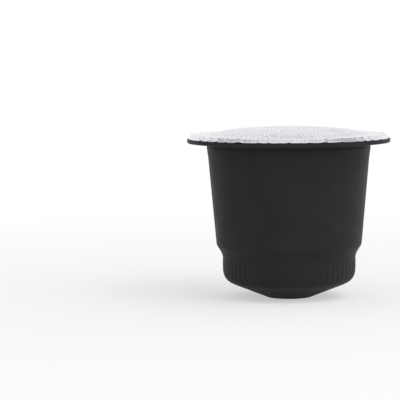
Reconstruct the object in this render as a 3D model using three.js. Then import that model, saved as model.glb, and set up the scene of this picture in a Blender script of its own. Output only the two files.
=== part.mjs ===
// A sealed single-serve coffee pod: a moulded plastic cup, closed by a domed foil lid.
// Units are millimetres and +Z is up. The pod stands on its nose, whose middle is the origin.

import * as THREE from "three";
import { mergeVertices } from "three/addons/utils/BufferGeometryUtils.js";

// Nose and coned base
const noseRadius = 4;
const noseRound = 0.4;
const coneHeight = 3.2;
const coneRound = 2.7;

// Ribbed band above the cone
const bandRadius = 11.98;
const bandHeight = 4.7;
const bandDraft = THREE.MathUtils.degToRad(1.6);
const ribCount = 60;
const ribHeight = 0.08;
const ribFootInset = 1.2;
const ribTopGap = 1.1;
const ribEndLength = 0.3;

// Shoulder between the band and the wall
const shoulderHeight = 1.75;
const shoulderFootRound = 3.4;
const shoulderTopRound = 1.2;

// Tapered wall
const wallFootRadius = 13.25;
const wallHeight = 17.4;
const wallDraft = THREE.MathUtils.degToRad(5.1);

// Neck with its bead, under the flange
const beadHeight = 0.6;
const beadDepth = 0.12;
const neckHeight = 0.6;
const neckRound = 0.25;

// Flange, with the raised land that the lid is sealed to
const flangeRadius = 18.5;
const flangeThickness = 0.75;
const rimTopRound = 0.12;
const rimBottomRound = 0.3;
const rimLedge = 0.35;
const landHeight = 0.6;
const landOuterRadius = 17.7;
const mouthRadius = 15;

// Foil lid
const foilThickness = 0.12;
const foilMargin = 0.15;
const domeRise = 1.3;
const domeFullness = 3.2;
const domeSteps = 4;

// Fineness of the turned surfaces: every rib is one raised edge between two furrows
const segments = 2 * ribCount;
const arcStep = THREE.MathUtils.degToRad(40);

// Heights that follow from the sizes above
const coneTop = coneHeight;
const bandTop = coneTop + bandHeight;
const ribTop = bandTop - ribTopGap;
const shoulderTop = bandTop + shoulderHeight;
const wallTop = shoulderTop + wallHeight;
const beadTop = wallTop + beadHeight;
const flangeBottom = beadTop + neckHeight;
const flangeTop = flangeBottom + flangeThickness;
const landTop = flangeTop + landHeight;

function bandRadiusAt(z) {
  return bandRadius + (z - coneTop) * Math.tan(bandDraft);
}

function wallRadiusAt(z) {
  return wallFootRadius + (z - shoulderTop) * Math.tan(wallDraft);
}

// A corner of an outline: its radius, its height, and the radius that rounds it.
function corner(radius, z, round = 0) {
  return { point: new THREE.Vector2(radius, z), round };
}

// The arc that rounds a corner, as points from its start to its end. It never takes
// more than half of the line on either side.
function cornerArc(before, { point, round }, after) {
  const back = before.clone().sub(point);
  const ahead = after.clone().sub(point);
  const halfAngle = back.angleTo(ahead) / 2;
  const longest = Math.min(back.length(), ahead.length()) / 2;
  const setback = Math.min(round / Math.tan(halfAngle), longest);
  const start = point.clone().add(back.setLength(setback));
  const end = point.clone().add(ahead.setLength(setback));
  const middle = start.clone().add(end).multiplyScalar(0.5).sub(point);
  const centre = point.clone().add(middle.setLength(setback / Math.cos(halfAngle)));
  const steps = Math.max(1, Math.round((Math.PI - 2 * halfAngle) / arcStep));
  const spoke = start.clone().sub(centre);
  const turn = Math.sign(spoke.cross(end.clone().sub(centre))) * (Math.PI - 2 * halfAngle);
  const origin = new THREE.Vector2();
  return Array.from({ length: steps + 1 }, (_, i) =>
    spoke.clone().rotateAround(origin, (turn * i) / steps).add(centre),
  );
}

// An outline's points, with each rounded corner as its arc.
function roundedOutline(corners) {
  return corners.flatMap((here, i) =>
    here.round > 0
      ? cornerArc(corners[i - 1].point, here, corners[i + 1].point)
      : [here.point],
  );
}

// The closed solid that an outline sweeps round the Z axis. The lathe turns about Y,
// so its result is stood up.
function turned(outline) {
  const geometry = new THREE.LatheGeometry(outline, segments);
  geometry.rotateX(Math.PI / 2);
  geometry.deleteAttribute("uv");
  return geometry;
}

// Moves every second edge of the ribbed rows outwards, which leaves upright ribs.
function raiseRibs(geometry, outline, isRibbed) {
  const position = geometry.getAttribute("position");
  const vertex = new THREE.Vector3();
  for (let i = 0; i < position.count; i += 1) {
    const edge = Math.floor(i / outline.length);
    const row = outline[i % outline.length];
    if (edge % 2 === 0 && isRibbed(row)) {
      vertex.fromBufferAttribute(position, i);
      const scale = (row.x + ribHeight) / row.x;
      position.setXYZ(i, vertex.x * scale, vertex.y * scale, vertex.z);
    }
  }
}

// A solid with shared vertices merged and its shading normals worked out again.
function finished(geometry) {
  geometry.deleteAttribute("normal");
  const solid = mergeVertices(geometry);
  solid.computeVertexNormals();
  return solid;
}

// The flange's upper face from the rim's flat ledge in to the mouth. The cup and the
// underside of the lid share these points, so the lid lies on the flange face to face.
function sealFace() {
  return [
    corner(flangeRadius - rimLedge, flangeTop),
    corner(landOuterRadius, landTop),
    corner(mouthRadius, landTop),
  ];
}

// Nose, cone and band up to the start of the shoulder. The ribs run from the cone's
// upper end, over the rounded corner, to just below the shoulder.
function lowerBody() {
  const ribEnd = ribTop + ribEndLength;
  return [
    corner(0, 0),
    corner(noseRadius, 0, noseRound),
    corner(bandRadius, coneTop, coneRound),
    corner(bandRadiusAt(ribTop), ribTop),
    corner(bandRadiusAt(ribEnd), ribEnd),
  ];
}

// Shoulder, wall and neck up to the underside of the flange.
function upperBody() {
  const bead = wallRadiusAt(wallTop) + beadDepth;
  const neck = wallRadiusAt(wallTop);
  return [
    corner(bandRadiusAt(bandTop), bandTop, shoulderFootRound),
    corner(wallFootRadius, shoulderTop, shoulderTopRound),
    corner(neck, wallTop),
    corner(bead, wallTop + beadHeight / 2),
    corner(neck, beadTop),
    corner(neck, flangeBottom, neckRound),
  ];
}

// The flange, from its underside round the rim and over the land to the axis.
function flange() {
  return [
    corner(flangeRadius, flangeBottom, rimBottomRound),
    corner(flangeRadius, flangeTop, rimTopRound),
    ...sealFace(),
    corner(0, landTop),
  ];
}

// The cup is one moulding. It is sealed and full, so it is one solid up to its mouth.
function cupGeometry() {
  const outline = roundedOutline([...lowerBody(), ...upperBody(), ...flange()]);
  const geometry = turned(outline);
  const ribFoot = bandRadius - ribFootInset;
  raiseRibs(geometry, outline, ({ x, y }) => x > ribFoot && y <= ribTop);
  return finished(geometry);
}

// One face of the lid's dome, from the mouth to the middle. Its height falls from the
// middle with a power of the radius, which makes it fuller than a ball's cap.
function domeFace(foot) {
  return Array.from({ length: domeSteps }, (_, i) => {
    const radius = mouthRadius * (1 - (i + 1) / domeSteps);
    const fall = (radius / mouthRadius) ** domeFullness;
    return corner(radius, foot + domeRise * (1 - fall));
  });
}

// The lid is one foil sheet of even thickness: its edge lies on the rim's ledge, then
// it climbs to the land, crosses it, and domes over the mouth.
function lidGeometry() {
  const edge = corner(flangeRadius - foilMargin, flangeTop);
  const underside = [edge, ...sealFace(), ...domeFace(landTop)];
  const topside = underside.map(({ point }) => corner(point.x, point.y + foilThickness));
  const outline = roundedOutline([...underside.reverse(), ...topside]);
  return finished(turned(outline));
}

function cupPlastic() {
  return new THREE.MeshStandardMaterial({ color: 0x1c1c1d, roughness: 0.45, metalness: 0 });
}

function lidFoil() {
  return new THREE.MeshStandardMaterial({ color: 0xdddde2, roughness: 0.35, metalness: 0.9 });
}

function namedMesh(name, geometry, material) {
  const mesh = new THREE.Mesh(geometry, material);
  mesh.name = name;
  return mesh;
}

const pod = new THREE.Group();
pod.add(namedMesh("cup", cupGeometry(), cupPlastic()));
pod.add(namedMesh("foil_lid", lidGeometry(), lidFoil()));

export default pod;
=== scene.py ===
"""Looks of a sealed coffee pod: a black moulded cup, closed by a domed and embossed foil lid.

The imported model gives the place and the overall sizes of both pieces. Each piece is made again here as
a fine surface, which stands for its plain solid, and gets its own procedural finish.
"""

import logging
import math
from abc import ABC, abstractmethod
from dataclasses import dataclass
from enum import Enum
from typing import ClassVar

import bpy
import numpy as np
from mathutils import Matrix, Vector


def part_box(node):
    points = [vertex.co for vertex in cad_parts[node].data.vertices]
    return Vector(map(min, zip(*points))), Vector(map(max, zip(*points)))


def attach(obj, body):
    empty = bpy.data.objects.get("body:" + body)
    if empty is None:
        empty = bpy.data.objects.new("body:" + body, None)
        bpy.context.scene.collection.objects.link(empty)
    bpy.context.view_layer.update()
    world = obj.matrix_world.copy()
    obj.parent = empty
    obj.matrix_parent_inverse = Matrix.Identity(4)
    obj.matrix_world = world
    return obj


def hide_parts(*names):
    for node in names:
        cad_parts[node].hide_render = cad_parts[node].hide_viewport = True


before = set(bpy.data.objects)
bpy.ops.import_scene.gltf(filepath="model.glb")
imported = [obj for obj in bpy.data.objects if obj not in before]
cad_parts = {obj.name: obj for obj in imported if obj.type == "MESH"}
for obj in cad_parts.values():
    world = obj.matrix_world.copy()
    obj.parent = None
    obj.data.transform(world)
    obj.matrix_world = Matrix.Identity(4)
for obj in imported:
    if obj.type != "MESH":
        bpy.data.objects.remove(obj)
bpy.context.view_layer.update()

log = logging.getLogger("coffee_pod")

Colour = tuple[float, float, float, float]

MM = 0.001
BODY = "root"
EMBOSS = "emboss"
PHOTO_SIDE_PX = 400
NOISE_LOW = 0.3
NOISE_HIGH = 0.7


class Slot(Enum):
    """The record's material slots."""

    CUP = "cup_plastic"
    LID = "lid_foil"


class Zone(Enum):
    """The lid's rings, each with the share of the full emboss that it shows."""

    DOME = 1.0
    SEAL_RING = 0.06
    MARGIN = 0.55


@dataclass(frozen=True)
class Corner:
    """A corner of an outline.

    Args:
        radius: Distance from the pod's axis, in metres.
        height: Height above the nose, in metres.
        round_radius: Radius that rounds the corner, in metres, or 0 for a sharp one.
    """

    radius: float
    height: float
    round_radius: float = 0.0

    def point(self) -> np.ndarray:
        """The corner as an array of its radius and height."""
        return np.array([self.radius, self.height])


def corner_arc(before: Corner, here: Corner, after: Corner, steps: int) -> np.ndarray:
    """Points on the arc that rounds one corner.

    The arc touches both lines. Its centre lies on their bisector, and its points are the centre plus
    the spoke to its start, turned in equal steps.

    Args:
        before: The corner before.
        here: The corner to round.
        after: The corner after.
        steps: Number of equal steps along the arc.

    Returns:
        The points, one row each, as radius and height.
    """
    back = before.point() - here.point()
    ahead = after.point() - here.point()
    longest = min(np.linalg.norm(back), np.linalg.norm(ahead)) / 2
    back /= np.linalg.norm(back)
    ahead /= np.linalg.norm(ahead)
    half = math.acos(float(np.clip(back @ ahead, -1, 1))) / 2
    setback = min(here.round_radius / math.tan(half), longest)
    bisector = (back + ahead) / np.linalg.norm(back + ahead)
    centre = here.point() + bisector * setback / math.cos(half)
    spoke = here.point() + back * setback - centre
    sweep = math.pi - 2 * half
    side = np.sign(back[0] * ahead[1] - back[1] * ahead[0])
    angles = -side * np.linspace(0, sweep, steps + 1)
    turned = np.stack(
        [
            spoke[0] * np.cos(angles) - spoke[1] * np.sin(angles),
            spoke[0] * np.sin(angles) + spoke[1] * np.cos(angles),
        ],
        axis=1,
    )
    return centre + turned


def rounded_outline(corners: list[Corner], steps: int) -> np.ndarray:
    """An outline with each rounded corner as its arc.

    Args:
        corners: The outline's corners in order.
        steps: Steps along each arc.

    Returns:
        The points, one row each, as radius and height.
    """
    stretches = [
        corner_arc(corners[i - 1], here, corners[i + 1], steps)
        if here.round_radius > 0
        else here.point()[None, :]
        for i, here in enumerate(corners)
    ]
    return np.concatenate(stretches)


def spaced(outline: np.ndarray, longest: float) -> np.ndarray:
    """An outline whose long lines are split, so that no step is longer than the given one.

    Args:
        outline: Points of the outline, one row each.
        longest: The longest step, in metres.

    Returns:
        The old points with evenly spaced new ones between them.
    """
    lengths = np.linalg.norm(np.diff(outline, axis=0), axis=1)
    counts = np.maximum(1, np.ceil(lengths / longest).astype(int))
    starts = np.repeat(np.arange(len(counts)), counts)
    steps = np.arange(counts.sum()) - np.repeat(np.cumsum(counts) - counts, counts)
    share = (steps / counts[starts])[:, None]
    inner = outline[starts] * (1 - share) + outline[starts + 1] * share
    return np.concatenate([inner, outline[-1:]])


def smooth_step(value: np.ndarray, low: float, high: float) -> np.ndarray:
    """Climbs from 0 at low to 1 at high as 3t^2 - 2t^3, where t is the share of the way."""
    t = np.clip((value - low) / (high - low), 0, 1)
    return t * t * (3 - 2 * t)


def closed_ring_faces(rows: int, columns: int) -> np.ndarray:
    """Four-sided faces of a grid whose columns close on themselves.

    Args:
        rows: Number of rows, from the first pole to the last.
        columns: Number of points round each row.

    Returns:
        Vertex numbers, one face a row.
    """
    row, column = np.meshgrid(np.arange(rows - 1), np.arange(columns), indexing="ij")
    after = (column + 1) % columns
    low = row * columns
    high = low + columns
    return np.stack([low + column, low + after, high + after, high + column], axis=-1).reshape(-1, 4)


def fan_faces(hub: int, ring: np.ndarray) -> list[tuple[int, int, int]]:
    """Triangles from a hub's vertex to each step of a ring that runs round it."""
    return [(hub, int(a), int(b)) for a, b in zip(ring, np.roll(ring, -1))]


def make_object(
    name: str, points: np.ndarray, faces: list, material: bpy.types.Material
) -> bpy.types.Object:
    """A smooth-shaded object at the origin, with its place in its mesh.

    Args:
        name: Name of the piece.
        points: Vertices in metres, one row each.
        faces: Vertex numbers of each face, counter-clockwise from outside.
        material: Its finish.

    Returns:
        The linked object.
    """
    mesh = bpy.data.meshes.new(name)
    mesh.from_pydata(points.tolist(), [], faces)
    mesh.update()
    mesh.polygons.foreach_set("use_smooth", np.ones(len(mesh.polygons), bool))
    mesh.materials.append(material)
    piece = bpy.data.objects.new(name, mesh)
    bpy.context.scene.collection.objects.link(piece)
    return piece


class NodeKit:
    """Short names for the nodes that the finishes are made of."""

    def __init__(self, tree: bpy.types.NodeTree, output_kind: str) -> None:
        """Empties a node tree and gives it its output.

        Args:
            tree: The tree of a material or of the world.
            output_kind: Blender's name for its output node.
        """
        self.tree = tree
        self.tree.nodes.clear()
        self.output = self.tree.nodes.new(output_kind)

    def add(self, kind: str, **values: object) -> bpy.types.Node:
        """A new node with its properties and unlinked inputs set.

        Args:
            kind: Blender's name for the node type.
            **values: Properties by name, or inputs by name with underscores for spaces.

        Returns:
            The node.
        """
        node = self.tree.nodes.new(kind)
        for key, value in values.items():
            if hasattr(node, key):
                setattr(node, key, value)
            else:
                node.inputs[key.replace("_", " ")].default_value = value
        return node

    def link(self, source: bpy.types.NodeSocket, target: bpy.types.NodeSocket) -> None:
        """Links one socket to another."""
        self.tree.links.new(source, target)

    def object_noise(self, scale: float, detail: float, stretch: Vector | None = None) -> bpy.types.Node:
        """Noise on the piece's own coordinates.

        Args:
            scale: Cells in each metre.
            detail: Octaves.
            stretch: Scale along each axis, to draw the noise out, or None for even noise.

        Returns:
            The noise node.
        """
        place = self.add("ShaderNodeTexCoord")
        noise = self.add("ShaderNodeTexNoise", Scale=scale, Detail=detail)
        if stretch is None:
            self.link(place.outputs["Object"], noise.inputs["Vector"])
        else:
            mapping = self.add("ShaderNodeMapping", Scale=stretch)
            self.link(place.outputs["Object"], mapping.inputs["Vector"])
            self.link(mapping.outputs["Vector"], noise.inputs["Vector"])
        return noise

    def spread(self, source: bpy.types.NodeSocket, low: float, high: float) -> bpy.types.NodeSocket:
        """Maps noise from its usual middle range to low and high.

        Args:
            source: The noise.
            low: Value where the noise is low.
            high: Value where the noise is high.

        Returns:
            The mapped value.
        """
        node = self.add("ShaderNodeMapRange", From_Min=NOISE_LOW, From_Max=NOISE_HIGH)
        node.inputs["To Min"].default_value = low
        node.inputs["To Max"].default_value = high
        self.link(source, node.inputs["Value"])
        return node.outputs["Result"]

    def blend(self, share: bpy.types.NodeSocket, low: Colour, high: Colour) -> bpy.types.Node:
        """A mix of two colours.

        Args:
            share: Share of the second colour, from 0 to 1.
            low: Colour where the share is 0.
            high: Colour where the share is 1.

        Returns:
            The mix node.
        """
        node = self.add("ShaderNodeMix", data_type="RGBA")
        node.inputs["A"].default_value = low
        node.inputs["B"].default_value = high
        self.link(share, node.inputs["Factor"])
        return node

    def ramp(self, source: bpy.types.NodeSocket, levels: tuple[tuple[float, float], ...]) -> bpy.types.Node:
        """A grey ramp that eases between levels.

        Args:
            source: Value from 0 to 1.
            levels: Each level's place from 0 to 1 and its grey.

        Returns:
            The ramp node.
        """
        node = self.add("ShaderNodeValToRGB")
        node.color_ramp.interpolation = "EASE"
        stops = node.color_ramp.elements
        while len(stops) < len(levels):
            stops.new(0.5)
        for stop, (place, grey) in zip(stops, levels):
            stop.position = place
            stop.color = (grey, grey, grey, 1.0)
        self.link(source, node.inputs["Fac"])
        return node

    def bump(self, height: bpy.types.NodeSocket, distance: float, strength: float) -> bpy.types.Node:
        """A bump in the surface.

        Args:
            height: Height from 0 to 1.
            distance: Height of a full bump, in metres.
            strength: Share of the bump that shows.

        Returns:
            The bump node.
        """
        node = self.add("ShaderNodeBump", Distance=distance, Strength=strength)
        self.link(height, node.inputs["Height"])
        return node


def node_material(name: str) -> tuple[bpy.types.Material, NodeKit]:
    """Args:
        name: Name of the material.

    Returns:
        The material and its kit.
    """
    material = bpy.data.materials.new(name)
    material.use_nodes = True
    return material, NodeKit(material.node_tree, "ShaderNodeOutputMaterial")


@dataclass(frozen=True)
class CupPlastic:
    """Black moulded polypropylene with a soft sheen.

    Args:
        dark: Darker tone of the colour, linear.
        light: Lighter tone of the colour, linear.
        smooth: Roughness where the mould polished it most.
        dull: Roughness where it is dullest.
        sheen_level: Strength of the surface's own reflection.
        cloud_scale: Cells of the colour's clouding in each metre.
        wear_scale: Cells of the roughness's clouding in each metre.
        grain_scale: Cells of the mould grain in each metre.
        grain_depth: Depth of the mould grain, in metres.
        flow_scale: Cells of the flow marks in each metre, across them.
        flow_stretch: How the flow marks' scale shrinks along the pod's axis.
        flow_depth: Depth of the flow marks, in metres.
        bump_strength: Strength of both bumps.
    """

    dark: Colour = (0.0216, 0.0216, 0.0220, 1.0)
    light: Colour = (0.0256, 0.0256, 0.0260, 1.0)
    smooth: float = 0.42
    dull: float = 0.52
    sheen_level: float = 0.06
    cloud_scale: float = 160
    wear_scale: float = 420
    grain_scale: float = 9000
    grain_depth: float = 0.006 * MM
    flow_scale: float = 900
    flow_stretch: float = 0.08
    flow_depth: float = 0.012 * MM
    bump_strength: float = 0.5

    def material(self) -> bpy.types.Material:
        """The finish: faint clouding of colour and gloss, fine mould grain and drawn-out flow marks.

        Returns:
            The material.
        """
        material, kit = node_material("cup_plastic")
        shader = kit.add("ShaderNodeBsdfPrincipled", Specular_IOR_Level=self.sheen_level)
        clouds = kit.object_noise(self.cloud_scale, detail=3)
        tone = kit.blend(kit.spread(clouds.outputs["Fac"], 0, 1), self.dark, self.light)
        kit.link(tone.outputs["Result"], shader.inputs["Base Color"])
        wear = kit.object_noise(self.wear_scale, detail=4)
        kit.link(kit.spread(wear.outputs["Fac"], self.smooth, self.dull), shader.inputs["Roughness"])
        grain = kit.object_noise(self.grain_scale, detail=2)
        flow = kit.object_noise(self.flow_scale, detail=2, stretch=Vector((1, 1, self.flow_stretch)))
        fine = kit.bump(grain.outputs["Fac"], self.grain_depth, self.bump_strength)
        drawn = kit.bump(flow.outputs["Fac"], self.flow_depth, self.bump_strength)
        kit.link(fine.outputs["Normal"], drawn.inputs["Normal"])
        kit.link(drawn.outputs["Normal"], shader.inputs["Normal"])
        kit.link(shader.outputs["BSDF"], kit.output.inputs["Surface"])
        return material


@dataclass(frozen=True)
class LidFoil:
    """Bright aluminium foil with fine rolling lines.

    Args:
        dark: Darker tone of the metal, linear.
        light: Lighter tone of the metal, linear.
        smooth: Roughness where the foil is brightest.
        dull: Roughness where it is dullest.
        painted_valley_shade: Painted shade, the tone at the bottom of the emboss's valleys, linear.
        painted_shade_start: Emboss level where that painted shade starts.
        cloud_scale: Cells of the tone's clouding in each metre.
        wear_scale: Cells of the roughness's clouding in each metre.
        line_scale: Cells of the rolling lines in each metre, across them.
        line_stretch: How the rolling lines' scale shrinks along X.
        line_depth: Depth of the rolling lines, in metres.
        grain_scale: Cells of the grain in each metre.
        grain_depth: Depth of the grain, in metres.
        bump_strength: Strength of both bumps.
    """

    dark: Colour = (0.735, 0.73, 0.785, 1.0)
    light: Colour = (0.825, 0.82, 0.88, 1.0)
    smooth: float = 0.16
    dull: float = 0.26
    # Painted shade: the darkest tone painted into the emboss's valleys, where shade falls.
    painted_valley_shade: Colour = (0.08, 0.08, 0.09, 1.0)
    painted_shade_start: float = -0.25
    cloud_scale: float = 300
    wear_scale: float = 1500
    line_scale: float = 6000
    line_stretch: float = 0.05
    line_depth: float = 0.004 * MM
    grain_scale: float = 12000
    grain_depth: float = 0.005 * MM
    bump_strength: float = 0.5

    def material(self) -> bpy.types.Material:
        """The finish: metal with faint clouding, painted shade in the emboss's valleys, fine rolling lines
        along X and a grain.

        Returns:
            The material.
        """
        material, kit = node_material("lid_foil")
        shader = kit.add("ShaderNodeBsdfPrincipled", Metallic=1.0)
        clouds = kit.object_noise(self.cloud_scale, detail=3)
        tone = kit.blend(kit.spread(clouds.outputs["Fac"], 0, 1), self.dark, self.light)
        # Painted shade: the base colour darkens from the metal's tone towards the painted shade tone the
        # deeper a point lies in the emboss's valleys.
        relief = kit.add("ShaderNodeAttribute", attribute_name=EMBOSS)
        depth = kit.add("ShaderNodeMapRange", From_Min=self.painted_shade_start, From_Max=-1.0, To_Max=1.0)
        kit.link(relief.outputs["Fac"], depth.inputs["Value"])
        shaded = kit.blend(depth.outputs["Result"], self.dark, self.painted_valley_shade)
        kit.link(tone.outputs["Result"], shaded.inputs["A"])
        kit.link(shaded.outputs["Result"], shader.inputs["Base Color"])
        wear = kit.object_noise(self.wear_scale, detail=3)
        kit.link(kit.spread(wear.outputs["Fac"], self.smooth, self.dull), shader.inputs["Roughness"])
        lines = kit.object_noise(self.line_scale, detail=2, stretch=Vector((self.line_stretch, 1, 1)))
        grain = kit.object_noise(self.grain_scale, detail=2)
        rolled = kit.bump(lines.outputs["Fac"], self.line_depth, self.bump_strength)
        fine = kit.bump(grain.outputs["Fac"], self.grain_depth, self.bump_strength)
        kit.link(rolled.outputs["Normal"], fine.inputs["Normal"])
        kit.link(fine.outputs["Normal"], shader.inputs["Normal"])
        kit.link(shader.outputs["BSDF"], kit.output.inputs["Surface"])
        return material


class PodPart(ABC):
    """A part of the pod whose piece stands for one CAD node.

    Attributes:
        node: The CAD node's name.
        slot: The record's material slot.
    """

    node: ClassVar[str]
    slot: ClassVar[Slot]

    @abstractmethod
    def build(self) -> bpy.types.Object:
        """Makes the piece."""

    def dress(self, piece: bpy.types.Object) -> None:
        """Lets the piece ride on the pod's body and stand for its CAD node.

        Args:
            piece: The piece that build made.
        """
        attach(piece, BODY)
        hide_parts(self.node)
        log.info("%s stands for %s: %d faces", piece.name, self.node, len(piece.data.polygons))


@dataclass
class Cup(PodPart):
    """The moulded cup: nose, coned base, ribbed band, shoulder, tapered wall, neck and flange.

    Its fields hold the outline's sizes in metres, from the nose up to the mouth, and how finely the
    outline is cut.

    Args:
        flange_radius: Outer radius of the flange.
        land_top: Height of the raised land that the lid is sealed to.
        finish: The plastic.
        rib_sharpness: How narrow the ribs are beside their furrows.
        rib_foot_inset: How far inside the band's radius the ribs start on the cone.
        rib_top_gap: Plain height left between the ribs and the shoulder.
        rib_end_length: Length over which a rib rises to its full height.
        bead_run: Length of wall over which the bead swells.
        points_per_rib: Points round the pod for each rib.
        arc_steps: Steps along each rounded corner.
        row_step: Longest step up the outline.
    """

    node: ClassVar[str] = "cup"
    slot: ClassVar[Slot] = Slot.CUP

    flange_radius: float
    land_top: float
    finish: CupPlastic
    nose_radius: float = 4 * MM
    nose_round: float = 0.4 * MM
    cone_height: float = 3.2 * MM
    cone_round: float = 2.7 * MM
    band_radius: float = 11.98 * MM
    band_height: float = 4.7 * MM
    band_draft: float = math.radians(1.6)
    rib_count: int = 60
    rib_height: float = 0.085 * MM
    rib_sharpness: float = 2
    rib_foot_inset: float = 1.2 * MM
    rib_top_gap: float = 1.1 * MM
    rib_end_length: float = 0.4 * MM
    shoulder_height: float = 1.75 * MM
    shoulder_foot_round: float = 3.4 * MM
    shoulder_top_round: float = 1.2 * MM
    wall_foot_radius: float = 13.25 * MM
    wall_height: float = 17.4 * MM
    wall_draft: float = math.radians(5.1)
    bead_height: float = 0.6 * MM
    bead_depth: float = 0.12 * MM
    bead_run: float = 1.4 * MM
    bead_round: float = 1.0 * MM
    neck_height: float = 0.6 * MM
    neck_round: float = 0.55 * MM
    flange_thickness: float = 0.75 * MM
    rim_top_round: float = 0.12 * MM
    rim_bottom_round: float = 0.3 * MM
    rim_ledge: float = 0.35 * MM
    land_outer_radius: float = 17.7 * MM
    mouth_radius: float = 15 * MM
    points_per_rib: int = 10
    arc_steps: int = 6
    row_step: float = 0.6 * MM

    def band_radius_at(self, height: float) -> float:
        """Radius of the drafted band at a height."""
        return self.band_radius + (height - self.cone_height) * math.tan(self.band_draft)

    def band_top(self) -> float:
        """Height where the shoulder starts."""
        return self.cone_height + self.band_height

    def outline(self) -> np.ndarray:
        """The cup's outline from the middle of the nose to the middle of the mouth.

        Returns:
            The points, one row each, as radius and height.
        """
        shoulder_top = self.band_top() + self.shoulder_height
        wall_top = shoulder_top + self.wall_height
        neck = self.wall_foot_radius + self.wall_height * math.tan(self.wall_draft)
        bead = neck + self.bead_depth
        bead_foot = neck - self.bead_run * math.tan(self.wall_draft)
        flange_bottom = wall_top + self.bead_height + self.neck_height
        flange_top = flange_bottom + self.flange_thickness
        corners = [
            Corner(0, 0),
            Corner(self.nose_radius, 0, self.nose_round),
            Corner(self.band_radius, self.cone_height, self.cone_round),
            Corner(self.band_radius_at(self.band_top()), self.band_top(), self.shoulder_foot_round),
            Corner(self.wall_foot_radius, shoulder_top, self.shoulder_top_round),
            Corner(bead_foot, wall_top - self.bead_run, self.bead_round),
            Corner(bead, wall_top + self.bead_height / 2, self.bead_round),
            Corner(neck, flange_bottom, self.neck_round),
            Corner(self.flange_radius, flange_bottom, self.rim_bottom_round),
            Corner(self.flange_radius, flange_top, self.rim_top_round),
            Corner(self.flange_radius - self.rim_ledge, flange_top),
            Corner(self.land_outer_radius, self.land_top),
            Corner(self.mouth_radius, self.land_top),
            Corner(0, self.land_top),
        ]
        return spaced(rounded_outline(corners, self.arc_steps), self.row_step)

    def rib_share(self, outline: np.ndarray) -> np.ndarray:
        """How much of the rib's height each row has.

        It climbs from 0 on the cone to 1 on the band by the row's radius, and falls to 0 again under
        the shoulder by the row's height.

        Args:
            outline: Points of the outline, one row each.

        Returns:
            The share from 0 to 1, one for each row.
        """
        radius, height = outline.T
        top = self.band_top() - self.rib_top_gap
        foot = self.band_radius - self.rib_foot_inset
        climb = smooth_step(radius, foot, foot + self.rib_end_length)
        fade = 1 - smooth_step(height, top, top + self.rib_end_length)
        return climb * fade

    def build(self) -> bpy.types.Object:
        """Makes the cup.

        A point at angle a on a row is (R cos a, R sin a, z). R is the row's radius plus the rib's
        height times the row's share times ((1 + cos(n a)) / 2)^s for n ribs of sharpness s, which
        leaves narrow rounded ribs between wider furrows.

        Returns:
            The cup as one closed piece.
        """
        outline = self.outline()
        columns = self.rib_count * self.points_per_rib
        angle = np.arange(columns) * 2 * math.pi / columns
        crest = ((1 + np.cos(self.rib_count * angle)) / 2) ** self.rib_sharpness
        rows = outline[1:-1]
        radius = rows[:, :1] + self.rib_height * self.rib_share(rows)[:, None] * crest
        height = np.broadcast_to(rows[:, 1:], radius.shape)
        shell = np.stack([radius * np.cos(angle), radius * np.sin(angle), height], axis=-1)
        poles = np.array([[0, 0, outline[0, 1]], [0, 0, outline[-1, 1]]])
        points = np.concatenate([shell.reshape(-1, 3), poles])
        first = np.arange(columns)
        last = first + (len(rows) - 1) * columns
        faces = closed_ring_faces(len(rows), columns).tolist()
        faces += fan_faces(len(points) - 2, first[::-1])
        faces += fan_faces(len(points) - 1, last)
        return make_object("cup_shell", points, faces, self.finish.material())


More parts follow.
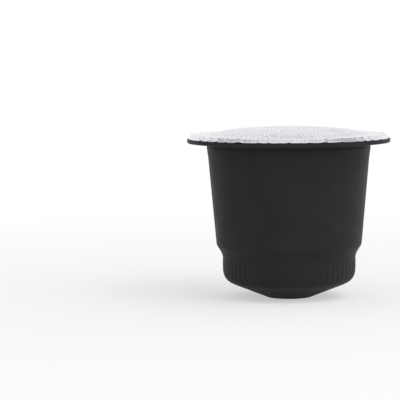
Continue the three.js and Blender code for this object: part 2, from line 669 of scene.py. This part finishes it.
@dataclass
class FoilLid(PodPart):
    """The foil lid: one embossed sheet over the rim, the sealed land and the dome.

    Lengths are in metres.

    Args:
        radius: Outer radius of the foil.
        rim_height: Height of the flange's top, where the foil's edge lies.
        top: Height of the dome's middle.
        cup: The cup that the lid is sealed to.
        finish: The foil.
        thickness: Thickness of the foil.
        dome_fullness: Power of the radius that the dome falls with.
        ring_inner: Inner radius of the smooth sealed ring.
        ring_outer: Outer radius of the smooth sealed ring.
        ring_blend: Width over which the emboss fades into the ring and out of it.
        emboss_pitch: Distance between two ridges.
        emboss_depth: Height from trough to ridge.
        emboss_band: How closely the ridges keep to their pitch.
        emboss_gain: How fast the ridges grow.
        emboss_noise: Size of the noise that they grow from.
        emboss_step: Length of one step of their growth.
        emboss_steps: Number of those steps.
        emboss_cells: Cells along each side of the emboss's square.
        emboss_seed: Seed of the emboss's noise.
        field_in_radii: Side of that square in the lid's radii.
        edge_wave: Half of how far the ragged cut edge runs in.
        edge_waves: Fewest waves round the ragged edge, and the number that they stay under.
        edge_seed: Seed of the ragged edge.
        margin_crinkle: Height of the margin's creases.
        crinkle_waves: Fewest waves round the creased margin, and the number that they stay under.
        crinkle_seed: Seed of the creases.
        wave_least: Least size of one wave, where the greatest is 1.
        grid: Faces along each side of the grid that is laid over the disc.
        underside_radii: Radii of the underside's rings, from the edge inwards.
    """

    node: ClassVar[str] = "foil_lid"
    slot: ClassVar[Slot] = Slot.LID

    radius: float
    rim_height: float
    top: float
    cup: Cup
    finish: LidFoil
    thickness: float = 0.12 * MM
    dome_fullness: float = 3.2
    ring_inner: float = 15.0 * MM
    ring_outer: float = 16.4 * MM
    ring_blend: float = 0.5 * MM
    emboss_pitch: float = 0.6 * MM
    emboss_depth: float = 0.05 * MM
    emboss_band: float = 0.45
    emboss_gain: float = 0.6
    emboss_noise: float = 0.3
    emboss_step: float = 0.8
    emboss_steps: int = 10
    emboss_cells: int = 640
    emboss_seed: int = 11
    field_in_radii: float = 2.1
    edge_wave: float = 0.07 * MM
    edge_waves: tuple[int, int] = (9, 60)
    edge_seed: int = 5
    margin_crinkle: float = 0.2 * MM
    crinkle_waves: tuple[int, int] = (15, 70)
    crinkle_seed: int = 6
    wave_least: float = 0.3
    grid: int = 290
    underside_radii: tuple[float, ...] = tuple(r * MM for r in (18.15, 17.9, 17.7, 16.6, 15, 13, 10, 7, 4))

    def field_side(self) -> float:
        """Side of the square that the emboss is worked out on."""
        return self.field_in_radii * self.radius

    def emboss_field(self) -> np.ndarray:
        """The emboss pattern as a square, repeating field from -1 to 1.

        Seeded noise grows into short winding ridges by the Swift-Hohenberg rule: the field's rate of
        change is e u - b (1 + D / k^2)^2 u - u^3, where e is the gain, D the Laplacian, k the ridges'
        wave number and b how closely they keep to it. Each step takes the linear part at its end and
        the cube at its start. Few steps leave the ridges short and broken. At the end, two standard
        deviations of the field are made 1, and what lies past that is cut off.

        Returns:
            The field, one value a cell.
        """
        cells = self.emboss_cells
        wave = 2 * math.pi * np.fft.fftfreq(cells, d=self.field_side() / cells)
        squared = wave[:, None] ** 2 + wave[None, : cells // 2 + 1] ** 2
        ridge_wave = 2 * math.pi / self.emboss_pitch
        linear = self.emboss_gain - self.emboss_band * (1 - squared / ridge_wave**2) ** 2
        random = np.random.default_rng(self.emboss_seed)
        field = random.normal(0, self.emboss_noise, (cells, cells))
        for _ in range(self.emboss_steps):
            cubed = np.fft.rfft2(field - self.emboss_step * field**3)
            field = np.fft.irfft2(cubed / (1 - self.emboss_step * linear), s=(cells, cells))
        return np.clip(field / (2 * field.std()), -1, 1)

    def emboss_at(self, x: np.ndarray, y: np.ndarray) -> np.ndarray:
        """The emboss field at each point, blended between its four nearest cells.

        Args:
            x: The points' x, in metres.
            y: The points' y, in metres.

        Returns:
            The emboss from -1 to 1, one for each point.
        """
        field = self.emboss_field()
        cells = self.emboss_cells
        column = (x / self.field_side() + 0.5) * cells
        row = (y / self.field_side() + 0.5) * cells
        left, low = np.floor(column).astype(int), np.floor(row).astype(int)
        across, up = column - left, row - low
        left, low = left % cells, low % cells
        right, high = (left + 1) % cells, (low + 1) % cells
        lower = field[low, left] * (1 - across) + field[low, right] * across
        upper = field[high, left] * (1 - across) + field[high, right] * across
        return lower * (1 - up) + upper * up

    def base_height(self, radius: np.ndarray) -> np.ndarray:
        """Height of the foil's underside at a radius.

        It lies on the rim's ledge, climbs in a soft step to the land, crosses it, and domes over the
        mouth as rise (1 - (r / mouth)^f), where f is the dome's fullness.

        Args:
            radius: Distances from the pod's axis.

        Returns:
            The height above the nose, one for each distance.
        """
        cup = self.cup
        climb = 1 - smooth_step(radius, cup.land_outer_radius, cup.flange_radius - cup.rim_ledge)
        sealed = self.rim_height + climb * (cup.land_top - self.rim_height)
        rise = self.top - self.thickness - cup.land_top
        share = np.clip(radius / cup.mouth_radius, 0, 1)
        return sealed + rise * (1 - share**self.dome_fullness)

    def emboss_share(self, radius: np.ndarray) -> np.ndarray:
        """How much of the full emboss shows at a radius: dome, smooth sealed ring, then margin.

        Args:
            radius: Distances from the pod's axis.

        Returns:
            The share from 0 to 1, one for each distance.
        """
        into_ring = smooth_step(radius, self.ring_inner - self.ring_blend, self.ring_inner)
        out_of_ring = smooth_step(radius, self.ring_outer, self.ring_outer + self.ring_blend)
        inner = Zone.DOME.value + (Zone.SEAL_RING.value - Zone.DOME.value) * into_ring
        return inner + (Zone.MARGIN.value - Zone.SEAL_RING.value) * out_of_ring

    def ripple(self, angle: np.ndarray, low: int, high: int, seed: int) -> np.ndarray:
        """A seeded sum of waves round the lid, with one for each whole number of waves a turn.

        The sum is divided by twice the root of its squared sizes, and what lies past 1 is cut off.

        Args:
            angle: Angles round the pod's axis.
            low: Fewest waves a turn.
            high: The number that the waves a turn stay under.
            seed: Seed of their sizes and places.

        Returns:
            The sum from -1 to 1, one for each angle.
        """
        random = np.random.default_rng(seed)
        waves = np.arange(low, high)
        phase = random.uniform(0, 2 * math.pi, len(waves))
        size = random.uniform(self.wave_least, 1, len(waves))
        total = np.cos(angle[..., None] * waves + phase) @ size
        return np.clip(total / (2 * np.linalg.norm(size)), -1, 1)

    def disc(self) -> tuple[np.ndarray, np.ndarray]:
        """An even grid laid over the disc.

        The square from -1 to 1 is laid over the disc ring by ring: a point's ring is the larger of
        |u| and |v|, and its angle runs evenly along the ring's four sides.

        Returns:
            The grid's radii, as shares of the whole, and its angles.
        """
        side = np.linspace(-1, 1, self.grid + 1)
        u, v = np.meshgrid(side, side)
        ring = np.maximum(np.abs(u), np.abs(v))
        safe = np.where(ring == 0, 1, ring)
        along_u = np.abs(u) >= np.abs(v)
        quarter = math.pi / 4
        angle_u = np.where(u < 0, math.pi + quarter * v / np.where(u == 0, 1, u), quarter * v / safe)
        angle_v = np.where(v > 0, math.pi / 2, -math.pi / 2) - quarter * u / np.where(v == 0, 1, v)
        return ring, np.where(along_u, angle_u, angle_v)

    def edge_radius(self, angle: np.ndarray) -> np.ndarray:
        """Radius of the foil's slightly ragged cut edge at an angle."""
        return self.radius - self.edge_wave * (1 + self.ripple(angle, *self.edge_waves, self.edge_seed))

    def crinkle(self, radius: np.ndarray, angle: np.ndarray) -> np.ndarray:
        """How far the margin's creases lift the foil off the flange."""
        creases = np.maximum(self.ripple(angle, *self.crinkle_waves, self.crinkle_seed), 0)
        return self.margin_crinkle * creases * smooth_step(radius, self.ring_outer, self.radius)

    def topside(self) -> tuple[np.ndarray, np.ndarray]:
        """The embossed upper face, on the disc's grid.

        Its height is the base height plus the thickness, half the emboss depth times the emboss, and
        the margin's creases.

        Returns:
            The points and, for each, its emboss from -1 in a trough to 1 on a ridge.
        """
        ring, angle = self.disc()
        radius = ring * self.edge_radius(angle)
        x, y = radius * np.cos(angle), radius * np.sin(angle)
        emboss = self.emboss_at(x, y) * self.emboss_share(radius)
        height = self.base_height(radius) + self.thickness + self.crinkle(radius, angle)
        return np.stack([x, y, height + emboss * self.emboss_depth / 2], axis=-1), emboss

    def grid_numbers(self) -> np.ndarray:
        """Vertex numbers of the grid's points, laid out as the grid is."""
        side = self.grid + 1
        return np.arange(side**2).reshape(side, side)

    def edge_order(self) -> np.ndarray:
        """Numbers of the grid's edge points, counter-clockwise seen from above."""
        number = self.grid_numbers()
        return np.concatenate([number[0, :-1], number[:-1, -1], number[-1, :0:-1], number[:0:-1, 0]])

    def build(self) -> bpy.types.Object:
        """Makes the lid: the embossed grid above, and plain rings from its edge to a pole below.

        A point of the underside at angle a is (s e cos a, s e sin a, z), where e is the ragged edge's
        radius there, s the ring's share of it and z the base height with the creases.

        Returns:
            The lid as one closed piece.
        """
        upper, emboss = self.topside()
        number = self.grid_numbers()
        quads = np.stack([number[:-1, :-1], number[:-1, 1:], number[1:, 1:], number[1:, :-1]], axis=-1)
        edge = self.edge_order()
        flat = upper.reshape(-1, 3)
        angle = np.arctan2(flat[edge, 1], flat[edge, 0])
        edge_radius = np.hypot(flat[edge, 0], flat[edge, 1])
        share = np.array([self.radius, *self.underside_radii])[:, None] / self.radius
        radius = share * edge_radius
        low = self.base_height(radius) + self.crinkle(radius, angle)
        under = np.stack([radius * np.cos(angle), radius * np.sin(angle), low], axis=-1)
        pole = np.array([[0, 0, float(self.base_height(np.array(0.0)))]])
        points = np.concatenate([flat, under.reshape(-1, 3), pole])
        ring = np.arange(len(edge))
        start = len(flat)
        after = np.roll(ring, -1)
        wall = np.stack([edge, start + ring, start + after, edge[after]], axis=-1)
        below = closed_ring_faces(len(share), len(edge))[:, ::-1] + start
        last = start + (len(share) - 1) * len(edge) + ring
        faces = quads.reshape(-1, 4).tolist() + wall.tolist() + below.tolist()
        faces += fan_faces(len(points) - 1, last[::-1])
        sheet = make_object("foil_sheet", points, faces, self.finish.material())
        relief = sheet.data.attributes.new(EMBOSS, "FLOAT", "POINT")
        levels = np.zeros(len(points))
        levels[: emboss.size] = emboss.ravel()
        relief.data.foreach_set("value", levels)
        return sheet


@dataclass
class Studio:
    """The pale floor, the soft light and the camera.

    Lengths are in metres where nothing else is said.

    Args:
        pod_height: Height of the pod, whose middle the lamp faces.
        floor_side: Side of the square floor.
        floor_tone: Grey of the floor, linear.
        camera_distance: How far in front of the pod's axis the camera stands.
        camera_height: Height of the camera.
        lens: Focal length, in millimetres.
        sensor: Width of the sensor, in millimetres.
        axis_column: Column of the photograph's frame that the pod's axis stands in, in pixels.
        horizon_row: Row of that frame at the camera's own height, in pixels.
        roll: Turn of the camera about its line of sight.
        world_level: Strength of the soft light from all round.
        right_gain: Share by which that light is stronger from the right and weaker from the left.
        mirrored_levels: The studio's grey in reflections, by how steeply they look up.
        key_place: Where the lamp stands.
        key_power: Power of the lamp, in watts.
        key_side: Side of the square lamp.
        fade_start: Distance where the floor starts to fade into white.
        fade_full: Distance where it has faded.
        fade_least: Share of white in the floor that the camera sees before the fade.
        floor_glow: Share of white in the floor that the light and the reflections see.
    """

    pod_height: float
    floor_side: float = 6.0
    floor_tone: float = 0.95
    camera_distance: float = 379.9 * MM
    camera_height: float = 48.3 * MM
    lens: float = 187.6
    sensor: float = 36.0
    axis_column: float = 289.1
    horizon_row: float = 32.7
    roll: float = math.radians(0.45)
    world_level: float = 0.78
    right_gain: float = 0.4
    mirrored_levels: tuple[tuple[float, float], ...] = ((0.58, 1.0), (0.7, 0.5), (0.78, 0.5), (0.9, 1.0))
    key_place: tuple[float, float, float] = (0.35, -0.3, 0.5)
    key_power: float = 1.15
    key_side: float = 0.5
    fade_start: float = 0.03
    fade_full: float = 0.2
    fade_least: float = 0.5
    floor_glow: float = 0.18

    def floor(self) -> bpy.types.Object:
        """The plain white floor, which glows a little and fades for the camera into the white beyond.

        Returns:
            The floor.
        """
        material, kit = node_material("floor_white")
        grey = (self.floor_tone, self.floor_tone, self.floor_tone, 1.0)
        diffuse = kit.add("ShaderNodeBsdfDiffuse", Color=grey)
        white = kit.add("ShaderNodeEmission", Color=(1, 1, 1, 1), Strength=1.0)
        place = kit.add("ShaderNodeTexCoord")
        distance = kit.add("ShaderNodeVectorMath", operation="LENGTH")
        kit.link(place.outputs["Object"], distance.inputs[0])
        fade = kit.add(
            "ShaderNodeMapRange",
            interpolation_type="SMOOTHSTEP",
            From_Min=self.fade_start,
            From_Max=self.fade_full,
            To_Min=self.fade_least,
            To_Max=1.0,
        )
        kit.link(distance.outputs["Value"], fade.inputs["Value"])
        rays = kit.add("ShaderNodeLightPath")
        share = kit.add("ShaderNodeMix", data_type="FLOAT")
        share.inputs["A"].default_value = self.floor_glow
        kit.link(rays.outputs["Is Camera Ray"], share.inputs["Factor"])
        kit.link(fade.outputs["Result"], share.inputs["B"])
        mix = kit.add("ShaderNodeMixShader")
        kit.link(share.outputs["Result"], mix.inputs["Fac"])
        kit.link(diffuse.outputs["BSDF"], mix.inputs[1])
        kit.link(white.outputs["Emission"], mix.inputs[2])
        kit.link(mix.outputs["Shader"], kit.output.inputs["Surface"])
        half = self.floor_side / 2
        points = np.array([[-half, -half, 0], [half, -half, 0], [half, half, 0], [-half, half, 0]])
        return make_object("floor", points, [(0, 1, 2, 3)], material)

    def world(self) -> None:
        """The light from all round.

        The camera sees plain white. Surfaces get soft light that is stronger from the right.
        Reflections show a white backdrop, a darker ceiling above it and a white panel overhead.
        """
        world = bpy.data.worlds.new("studio")
        world.use_nodes = True
        kit = NodeKit(world.node_tree, "ShaderNodeOutputWorld")
        back = kit.add("ShaderNodeBackground", Color=(1, 1, 1, 1))
        rays = kit.add("ShaderNodeLightPath")
        place = kit.add("ShaderNodeTexCoord")
        direction = kit.add("ShaderNodeSeparateXYZ")
        kit.link(place.outputs["Generated"], direction.inputs["Vector"])
        levels = kit.ramp(direction.outputs["Z"], self.mirrored_levels)
        sided = kit.add("ShaderNodeMath", operation="MULTIPLY_ADD")
        sided.inputs[1].default_value = self.world_level * self.right_gain
        sided.inputs[2].default_value = self.world_level
        kit.link(direction.outputs["X"], sided.inputs[0])
        mirrored = kit.add("ShaderNodeMix", data_type="FLOAT")
        kit.link(sided.outputs["Value"], mirrored.inputs["A"])
        kit.link(rays.outputs["Is Glossy Ray"], mirrored.inputs["Factor"])
        kit.link(levels.outputs["Color"], mirrored.inputs["B"])
        seen = kit.add("ShaderNodeMix", data_type="FLOAT")
        seen.inputs["B"].default_value = 1.0
        kit.link(rays.outputs["Is Camera Ray"], seen.inputs["Factor"])
        kit.link(mirrored.outputs["Result"], seen.inputs["A"])
        kit.link(seen.outputs["Result"], back.inputs["Strength"])
        kit.link(back.outputs["Background"], kit.output.inputs["Surface"])
        bpy.context.scene.world = world

    def key_lamp(self) -> None:
        """A square soft lamp that faces the pod. Reflections show the studio, not the lamp."""
        data = bpy.data.lights.new("key", "AREA")
        data.energy = self.key_power
        data.size = self.key_side
        lamp = bpy.data.objects.new("key", data)
        bpy.context.scene.collection.objects.link(lamp)
        lamp.location = self.key_place
        aim = Vector((0, 0, self.pod_height / 2)) - Vector(self.key_place)
        lamp.rotation_euler = aim.to_track_quat("-Z", "Y").to_euler()
        lamp.visible_glossy = False

    def camera(self) -> None:
        """The camera in front of the pod, turned so that the pod stands right of the middle."""
        data = bpy.data.cameras.new("camera")
        data.lens = self.lens
        data.sensor_width = self.sensor
        camera = bpy.data.objects.new("camera", data)
        bpy.context.scene.collection.objects.link(camera)
        camera.location = (0, -self.camera_distance, self.camera_height)
        focal_px = self.lens / self.sensor * PHOTO_SIDE_PX
        centre_px = PHOTO_SIDE_PX / 2
        left_turn = math.atan((self.axis_column - centre_px) / focal_px)
        down_turn = math.atan((centre_px - self.horizon_row) / focal_px)
        aim = Matrix.Rotation(left_turn, 3, "Z") @ Matrix.Rotation(math.pi / 2 - down_turn, 3, "X")
        camera.rotation_euler = (aim @ Matrix.Rotation(-self.roll, 3, "Z")).to_euler()
        bpy.context.scene.camera = camera

    def build(self) -> None:
        """Makes the whole studio."""
        self.floor()
        self.world()
        self.key_lamp()
        self.camera()
        bpy.context.scene.view_settings.view_transform = "Standard"


def main() -> None:
    """Builds the cup, the lid and the studio."""
    logging.basicConfig(level=logging.INFO, format="%(name)s: %(message)s")
    _, cup_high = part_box(Cup.node)
    lid_low, lid_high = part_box(FoilLid.node)
    cup = Cup(flange_radius=cup_high.x, land_top=cup_high.z, finish=CupPlastic())
    lid = FoilLid(radius=lid_high.x, rim_height=lid_low.z, top=lid_high.z, cup=cup, finish=LidFoil())
    for part in (cup, lid):
        part.dress(part.build())
    Studio(pod_height=lid_high.z).build()
    log.info("the studio is built")


if __name__ == "__main__":
    main()
